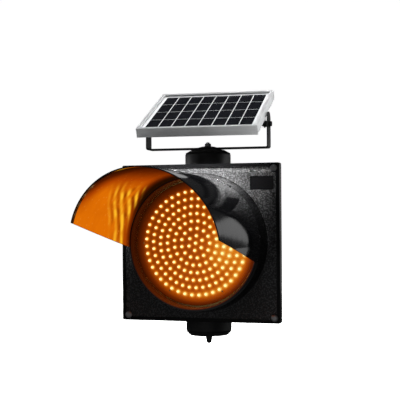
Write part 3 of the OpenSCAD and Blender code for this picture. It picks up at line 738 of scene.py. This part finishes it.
# ---------------------------------------------------------------- stage, light and camera
def stage():
    """A pale seamless floor that curves up into a round wall and a ceiling."""
    bm = bmesh.new()
    floor_z, floor_r, curve, top, sides = -0.12, 4.2, 1.2, 4.6, 64
    profile = [(floor_r, floor_z)]
    profile += [(floor_r + curve * math.sin(a), floor_z + curve * (1 - math.cos(a)))
                for a in (math.radians(d) for d in range(10, 91, 10))]
    profile.append((floor_r + curve, top))
    turns = [2 * math.pi * i / sides for i in range(sides)]
    rings = []
    for r, z in profile:
        rings.append([bm.verts.new((r * math.cos(a), r * math.sin(a), z)) for a in turns])
    for low, high in zip(rings, rings[1:]):
        for i in range(sides):
            j = (i + 1) % sides
            bm.faces.new([low[i], low[j], high[j], high[i]])
    bm.faces.new(rings[0])
    bm.faces.new(rings[-1])
    me = bpy.data.meshes.new("studio_floor")
    bm.to_mesh(me)
    bm.free()
    ob = bpy.data.objects.new("studio_floor", me)
    bpy.context.scene.collection.objects.link(ob)
    # only the floor and the ceiling, the last two faces, are flat
    for p in me.polygons:
        p.use_smooth = p.index < len(me.polygons) - 2
    m = Mat("studio_white", (0.9, 0.9, 0.9), 0.9, Specular_IOR_Level=0.0)
    m.emit((1.0, 1.0, 1.0), 0.96)
    me.materials.append(m.material)
    ob.visible_diffuse = False
    ob.visible_glossy = False
    ob.visible_transmission = False
    ob.visible_shadow = False


def area(name, at, to, size, power):
    """A rectangular light that faces a point and that the camera doesn't see."""
    d = bpy.data.lights.new(name, "AREA")
    d.shape = "RECTANGLE"
    d.size, d.size_y = size
    d.energy = power
    ob = bpy.data.objects.new(name, d)
    bpy.context.scene.collection.objects.link(ob)
    ob.location = at
    ob.rotation_mode = "QUATERNION"
    ob.rotation_quaternion = (Vector(to) - Vector(at)).to_track_quat("-Z", "Y")
    ob.visible_camera = False
    return ob


def card(name, x, z, size, glow, roll):
    """A dim panel behind the object that only its gloss shows."""
    w, h = size
    ob = area(name, (x, 2.2, z), (x * 0.5, 0.0, 0.3), size, glow * math.pi * w * h)
    ob.rotation_mode = "XYZ"
    ob.rotation_euler = (math.radians(-90), math.radians(roll), 0)
    ob.visible_diffuse = False


def only_on(light, *pieces):
    """Links a light to the named pieces, so that it lights nothing else."""
    lit = bpy.data.collections.new(light.name + "_pieces")
    for piece in pieces:
        lit.objects.link(bpy.data.objects[piece])
    light.light_linking.receiver_collection = lit


def world():
    w = bpy.data.worlds.new("soft_world")
    w.use_nodes = True
    background = w.node_tree.nodes["Background"]
    background.inputs[0].default_value = (1, 1, 1, 1)
    background.inputs[1].default_value = 0.032
    bpy.context.scene.world = w


def lights():
    rails = ("rail_front_piece", "rail_rear_piece", "rail_left_piece", "rail_right_piece")
    glare = area("door_glare", (0.0, -0.75, 0.95), (-0.032, -0.066, 0.4), (0.1, 0.05), 1.55)
    glare.data.spread = math.radians(25)
    only_on(glare, "front_door_piece")
    key = area("key_top", (0.3, -0.4, 1.9), (0.0, 0.0, 0.5), (0.9, 0.6), 20)
    key.visible_glossy = False
    area("fill_left", (-2.2, -1.4, 0.5), (0, 0, 0.1), (0.8, 0.8), 1.2)
    area("floor_bounce", (0.1, -1.5, -0.1), (0, 0, 0.45), (1.6, 1.0), 1.0)
    bounce = area("frame_bounce", (0.3, -1.4, -0.1), (0, 0, 0.45), (1.2, 0.8), 13)
    only_on(bounce, *rails)
    side = area("side_right", (1.7, 0.2, 0.9), (0.13, 0.0, 0.52), (0.4, 0.4), 1.65)
    side.data.spread = math.radians(24)
    side.visible_glossy = False
    only_on(side, *rails)
    # light for the sides and the back, which the main view doesn't show
    back = area("back_fill", (-0.9, 2.4, 1.3), (0.0, 0.05, 0.2), (1.2, 1.2), 34)
    back.visible_glossy = False
    left = area("left_fill", (-2.0, 0.4, 1.0), (0.0, 0.0, 0.2), (0.9, 0.9), 13)
    only_on(left, "visor_shell", "rear_shell", "front_door_piece")
    right = area("right_fill", (2.2, 1.2, 0.8), (0.0, 0.0, 0.2), (0.9, 0.9), 11)
    only_on(right, "rear_shell")
    card("card_fan", 0.5, 0.42, (0.6, 0.6), 0.48, 24)
    card("card_low", 0.75, -0.02, (0.5, 0.18), 0.36, 0)
    card("card_crown", -0.95, 0.9, (1.0, 0.4), 0.5, 0)
    wash = area("floor_wash", (0.0, 1.5, 3.2), (0.0, 1.2, 0.0), (4.0, 2.0), 90)
    wash.visible_glossy = False
    wash.data.spread = math.radians(100)


def camera():
    """The photograph's viewpoint."""
    c = bpy.data.cameras.new("photo_camera")
    c.sensor_width = 36
    c.lens = 90
    c.clip_start, c.clip_end = 0.05, 50
    ob = bpy.data.objects.new("photo_camera", c)
    bpy.context.scene.collection.objects.link(ob)
    at = Vector((0.6587, -2.1482, 0.2559))
    forward = Vector((-0.301, 0.9535, 0.0153)).normalized()
    roll = math.radians(-0.35)
    level_right = forward.cross(Vector((0, 0, 1))).normalized()
    level_up = level_right.cross(forward)
    right = level_right * math.cos(roll) + level_up * math.sin(roll)
    up = level_up * math.cos(roll) - level_right * math.sin(roll)
    rotation = Matrix((right, up, -forward)).transposed().to_4x4()
    ob.matrix_world = Matrix.Translation(at) @ rotation
    bpy.context.scene.camera = ob


stage()
world()
lights()
camera()
bpy.context.scene.view_settings.view_transform = "Standard"
